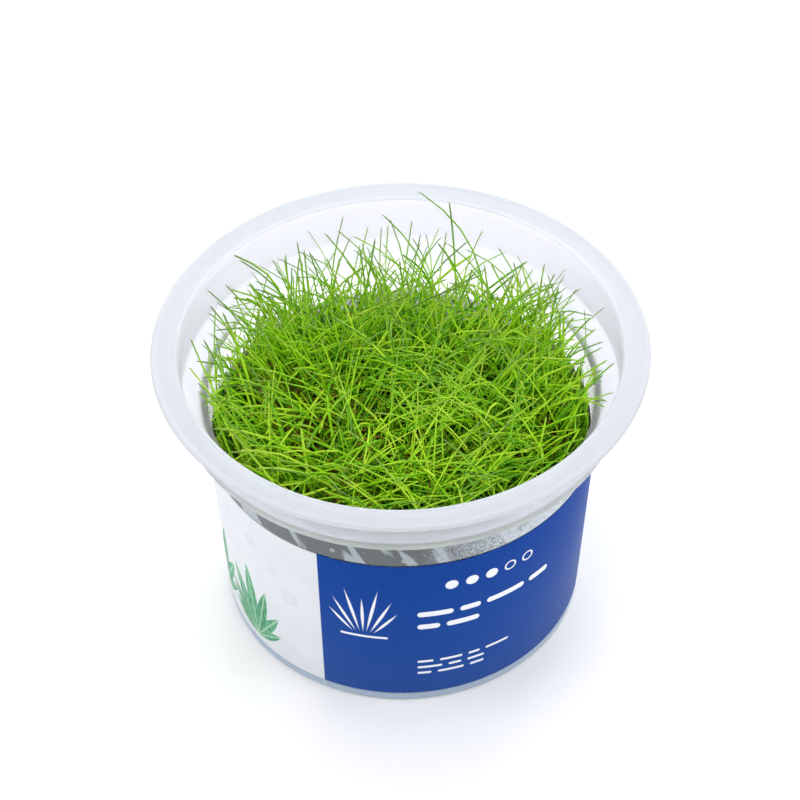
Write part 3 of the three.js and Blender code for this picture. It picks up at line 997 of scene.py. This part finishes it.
def root_near(crown):
    """A spot on the gel near a crown, inside the wall."""
    while True:
        turn, away = draw.uniform(0, math.tau), ROOT_SPREAD * math.sqrt(draw.random())
        root = Vector((crown.x + away * math.cos(turn), crown.y + away * math.sin(turn),
                       ROOT_HEIGHT))
        if root.xy.length < ROOT_REACH:
            return root


def beside(root, lean, turn, length):
    """The point at a length from a root, leaning from upright towards a direction."""
    return root + length * Vector((math.sin(lean) * math.cos(turn),
                                   math.sin(lean) * math.sin(turn), math.cos(lean)))


def backness(place, forward=1):
    """How far a place lies towards the back, or the front if forward is -1, from 0 to 1."""
    behind = forward * place.y / MM
    return min(max((behind - THIN_FROM) / (THIN_TO - THIN_FROM), 0.0), 1.0)


def brownness(place):
    """How near a place is to the middle of a brown spot, from 0 to 1."""
    return max(max(0.0, 1 - math.hypot(place.x / MM - x, place.y / MM - y) / size)
               for x, y, size in BROWN_SPOTS)


def leaf_tone():
    """Most leaves are fresh green and some are yellower or deeper."""
    return min(max(draw.gauss(0.45, 0.26), 0.0), 1.0)


print("brown spots:", len(BROWN_SPOTS))

# %% Plant the bulk of a plantlet
# Habit, leaves in a tuft, lean in degrees from and to, length in mm from and to, added tone. The
# added tone is painted light and shade: lighter for the long leaves on top of the mat, deeper for
# the short ones beneath
TUSSOCK = [
    ("upright", 28, 3, 26, 18, 30, -0.1),
    ("arching", 36, 24, 56, 22, 36, -0.1),
    ("drooping", 26, 40, 72, 21, 38, -0.12),
    ("wavy", 28, 8, 52, 20, 35, -0.08),
    ("arching", 28, 24, 60, 31, 47, 0.1),
    ("sweeping", 24, 20, 60, 30, 46, 0.28),
]
OUTWARD_SPREAD = 1.9
BULK_PLACES_TRIED = 4
# What share of the leaves is left out towards the back and the front
THINNER_AT_BACK, THINNER_AT_FRONT = 0.75, 0.35


def plant_bulk(bm, crown):
    """Leaves that lean mostly outwards from the crown, fewer where the mat is thin or brown."""
    planted = 0
    for habit, count, lean_from, lean_to, short, long, brighter in TUSSOCK:
        for _ in range(count):
            tone = min(leaf_tone() + brighter, 1.0)
            for _ in range(BULK_PLACES_TRIED):
                root = root_near(crown)
                lean = math.radians(draw.uniform(lean_from, lean_to))
                turn = math.atan2(root.y, root.x) + draw.gauss(0, OUTWARD_SPREAD)
                tip = beside(root, lean, turn, draw.uniform(short, long) * MM)
                mesh, line = pick_needle(habit, (tip - root).length)
                matrix = stretched(root, tip, draw.gauss(0, 0.6))
                gap = max(brownness(root.lerp(tip, 0.7)), THINNER_AT_BACK * backness(tip),
                          THINNER_AT_FRONT * backness(tip, -1))
                if fits(line, matrix) and draw.random() > gap:
                    plant(bm, mesh, matrix, tone, 0.0)
                    planted += 1
                    break
    return planted


def plant_tall(bm, crown, node):
    """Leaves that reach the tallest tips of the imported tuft."""
    planted = 0
    for point in tall_points_of(node):
        tip = point + Vector(draw.uniform(-0.5, 0.5) * MM for _ in range(3))
        tip.z = min(tip.z, LEAF_CEILING)
        root = root_near(crown)
        habit = draw.choice(["upright", "arching", "arching", "wavy"])
        # Painted light: the tallest leaves get a lighter tone, as they stand in the light above
        # the mat
        planted += plant_between(bm, habit, root, tip, 0.3 + 0.7 * leaf_tone(), 0.0)
    return planted


print("each tuft may have", sum(row[1] for row in TUSSOCK), "leaves in its bulk")

# %% Plan the fans and the fringe along the wall
# Fans: towards where in degrees, how widely, how far out from the axis in mm, how many
FAN_GROUPS = [(90, 45, 12, 56), (158, 14, 22, 26), (24, 14, 22, 26)]
FAN_REACH = 34
FRINGE_LEAVES = 2700
FRINGE_FROM, FRINGE_TO = 33.9, 34.8
GOLDEN_TURN = math.pi * (3 - math.sqrt(5))


def nearest_tuft(place):
    return min(TUFT_NODES, key=lambda node: (crowns[node] - place).xy.length)


def on_gel(turn, away):
    """A root on the gel at a direction and a distance in millimetres from the axis."""
    return Vector((math.cos(turn) * away * MM, math.sin(turn) * away * MM, ROOT_HEIGHT))


fan_roots = {node: [] for node in TUFT_NODES}
for toward, spread, nearest, count in FAN_GROUPS:
    for _ in range(count):
        turn = math.radians(draw.gauss(toward, spread))
        root = on_gel(turn, draw.uniform(nearest, FAN_REACH))
        fan_roots[nearest_tuft(root)].append(root)
fringe_roots = {node: [] for node in TUFT_NODES}
for number in range(FRINGE_LEAVES):
    root = on_gel(number * GOLDEN_TURN, draw.uniform(FRINGE_FROM, FRINGE_TO))
    fringe_roots[nearest_tuft(root)].append(root)
print(sum(map(len, fan_roots.values())), "fans and", FRINGE_LEAVES, "leaves in the fringe")

# %% Plant the fans and the fringe
# Most leaves of the fringe stand close to the wall, and of the rest a few are tall
CLOSE_SHARE, TALL_SHARE = 0.6, 0.04
THINNER_FRINGE, LOWER_FRINGE = 0.9, 8 * MM


def plant_fans(bm, node):
    """Tall leaves that spread from one root, more and longer ones towards the back."""
    planted = 0
    for root in fan_roots[node]:
        turn = math.atan2(root.y, root.x)
        raised = 0.5 + 0.5 * math.sin(turn)
        for _ in range(draw.randint(3, 7)):
            tip = on_gel(turn + draw.gauss(0, 1.1), draw.uniform(2, 17)) + root
            tip.z = draw.triangular(44, 50 + 18 * raised, 46 + 13 * raised) * MM
            habit = draw.choice(("arching", "arching", "upright", "wavy"))
            # Painted light: fan leaves get a lighter tone for the light from behind the cup that
            # shines through them
            planted += plant_between(bm, habit, root, tip, 0.45 + 0.55 * leaf_tone(), 0.0, 0.9)
    return planted


def plant_fringe(bm, node):
    """The wall holds these leaves upright, so that the mat has a steep edge."""
    planted = 0
    for root in fringe_roots[node]:
        close = draw.random() < CLOSE_SHARE
        if not close and draw.random() < THINNER_FRINGE * backness(root):
            continue
        tall = not close and draw.random() < TALL_SHARE
        turn = math.atan2(root.y, root.x) + draw.gauss(0, 0.25 if tall else 0.18)
        height = (draw.triangular(45, 62, 50) if tall else draw.triangular(29, 49, 42)) * MM
        if close:
            height -= LOWER_FRINGE * backness(root)
        reach = (wall_reach(height) if height < LEDGE_FROM else 36.8 * MM) - 0.3 * MM
        tip = Vector((math.cos(turn), math.sin(turn), 0))
        tip *= reach - abs(draw.gauss(0, 0.3 if close else 1.8)) * MM
        tip.z = height
        habit = "upright" if close else draw.choice(("upright", "arching", "wavy"))
        planted += plant_between(bm, habit, root, tip, leaf_tone(), 0.0, 3.0)
    return planted


print("share of the fringe close to the wall:", CLOSE_SHARE)

# %% Dead leaves among the green
DEAD_TRIED = 230
DEAD_EVERYWHERE = 0.04


def plant_dead(bm, crown):
    """Old brown leaves lie curled between the green ones, most of them in the brown spots."""
    planted = 0
    for _ in range(DEAD_TRIED):
        root = root_near(crown)
        if draw.random() > brownness(root) + DEAD_EVERYWHERE:
            continue
        root.z = draw.uniform(35, 46) * MM
        lean, length = math.radians(draw.uniform(50, 120)), draw.uniform(3, 10) * MM
        tip = beside(root, lean, draw.uniform(0, math.tau), length)
        planted += plant_between(bm, "drooping", root, tip, draw.random(),
                                 draw.uniform(0.75, 1.0), 3.0)
    return planted


print("dead leaves are tried", DEAD_TRIED, "times in each tuft")

# %% The leaves that catch the eye
# Habit, root (right, back) and tip (right, back, up) in mm, and tone
NOTED_LEAVES = [
    ("sweeping", (-2, -4), (-12, 22, 48.5), 1.0),
    ("sweeping", (14, 4), (27, 20, 55), 0.9),
    ("arching", (2, 14), (14, 30, 62), 0.3),
    ("drooping", (26, -6), (39.0, 0, 54), 0.2),
    ("drooping", (27, 6), (39.5, 8, 55), 0.3),
    ("drooping", (-27, -6), (-39.0, -4, 54), 0.2),
    ("arching", (-28, 2), (-39.5, 3, 56), 0.3),
    ("arching", (-24, 12), (-36, 22, 58), 0.5),
    ("wavy", (-6, -8), (-20, -22, 42), 0.9),
    ("sweeping", (10, -10), (-4, -26, 43), 1.0),
    ("sweeping", (-14, -6), (4, -14, 46), 0.9),
    ("arching", (22, -12), (12, 6, 47), 0.5),
]


def plant_noted(bm, node):
    """Single leaves that a viewer notices first, in the tuft that they are nearest to."""
    planted = 0
    for habit, (right, back), tip, tone in NOTED_LEAVES:
        root = Vector((right * MM, back * MM, ROOT_HEIGHT))
        if nearest_tuft(root) == node:
            planted += plant_between(bm, habit, root, Vector(tip) * MM, tone, 0.0, 0.3)
    return planted


print("noted leaves:", len(NOTED_LEAVES))

# %% [markdown]
# ## Leaf colour
# A fresh leaf is a bright yellow-green, paler at its foot where no light reaches it and dull olive
# at its tip. It could have a painted texture, but thousands of different leaves share one finish
# here: three values ride on each leaf's points, how far along it they are, its own tone and how
# dry it is. The material mixes its colour from those and from painted shade, which darkens the
# leaves deep in the mat. Part of the tone is painted light too: the long and tall leaves on top
# get lighter tones.

# %% Mix the leaf's colours
leaf_finish, shader, wire = principled_finish(
    "needle_leaf", Specular_IOR_Level=0.25, Subsurface_Weight=0.55,
    Subsurface_Radius=(0.7, 1.0, 0.15), Subsurface_Scale=0.5 * MM,
)
# From deep green to yellow-green: where on the ramp, and the colour
LEAF_GREENS = [(0.0, (0.045, 0.19, 0.006)), (0.35, (0.16, 0.46, 0.006)),
               (0.65, (0.40, 0.77, 0.011)), (1.0, (0.60, 0.90, 0.05))]


def leaf_value(name):
    """A value stored on each leaf's points."""
    return wire.add("Attribute", {"attribute_name": name}).outputs["Fac"]


along_leaf, tone, dryness = leaf_value("along"), leaf_value("tone"), leaf_value("dryness")
place = wire.place()
mottle = wire.math("SUBTRACT", wire.noise(place, 420, 3), 0.5)
ramp = wire.add("ValToRGB", None, Fac=wire.math("MULTIPLY_ADD", mottle, 0.5, tone))
stops = ramp.color_ramp.elements
stops[0].color = (*LEAF_GREENS[0][1], 1)
stops[1].color = (*LEAF_GREENS[-1][1], 1)
for stop, colour in LEAF_GREENS[1:-1]:
    stops.new(stop).color = (*colour, 1)
pale_foot = wire.spread(along_leaf, 0.16, 0.0, 0.0, 0.7)
fresh = wire.blend(pale_foot, ramp.outputs["Color"], (0.55, 0.62, 0.22, 1))
print("greens on the ramp:", len(stops))

# %% Add painted shade, dark tips and dead brown
parts = wire.add("SeparateXYZ", None, Vector=place).outputs
height_up, behind = parts["Z"], parts["Y"]
# Painted shade: deep in the mat the colour is darkened, less so at the back, where light comes
# through the clear wall, and a little at the front of the mat, in the shade of the front wall
low_down = wire.spread(height_up, 30 * MM, 48 * MM, 0.93, 0.0)
lit_from_back = wire.spread(behind, 12 * MM, 34 * MM, 1.0, 0.35)
behind_wall = wire.spread(behind, -34 * MM, -14 * MM, 0.13, 0.0)
in_shade = wire.math("MAXIMUM", wire.math("MULTIPLY", low_down, lit_from_back), behind_wall)
fresh = wire.blend(in_shade, fresh, (0.025, 0.12, 0.003, 1))
# Leaves that rise above the mat turn a darker olive towards the tip
above_mat = wire.spread(height_up, 51 * MM, 59 * MM, 0.0, 0.9)
dark_tip = wire.math("MULTIPLY", wire.spread(along_leaf, 0.55, 0.95), above_mat)
fresh = wire.blend(dark_tip, fresh, (0.085, 0.13, 0.04, 1))
brown = wire.blend(tone, (0.13, 0.040, 0.010, 1), (0.42, 0.18, 0.035, 1))
wire.feed(shader, "Base Color", wire.blend(dryness, fresh, brown))
fibre = wire.noise(place, 2400)
wire.feed(shader, "Roughness", wire.spread(fibre, 0.3, 0.7, 0.34, 0.52))
wire.relief(shader, fibre, 0.25, 0.1 * MM)
print("leaf finish has", len(wire.tree.nodes), "nodes")

# %% Grow every plantlet
total = 0
for number, node in enumerate(TUFT_NODES, 1):
    plantlet_bm = bmesh.new()
    crown = crowns[node]
    total += plant_bulk(plantlet_bm, crown)
    total += plant_tall(plantlet_bm, crown, node)
    total += plant_fringe(plantlet_bm, node)
    total += plant_fans(plantlet_bm, node)
    total += plant_dead(plantlet_bm, crown)
    total += plant_noted(plantlet_bm, node)
    finish_piece(plantlet_bm, f"plantlet_{number:02d}", [node], [leaf_finish],
                 smooth_angle=180)
print("leaves in all:", total)
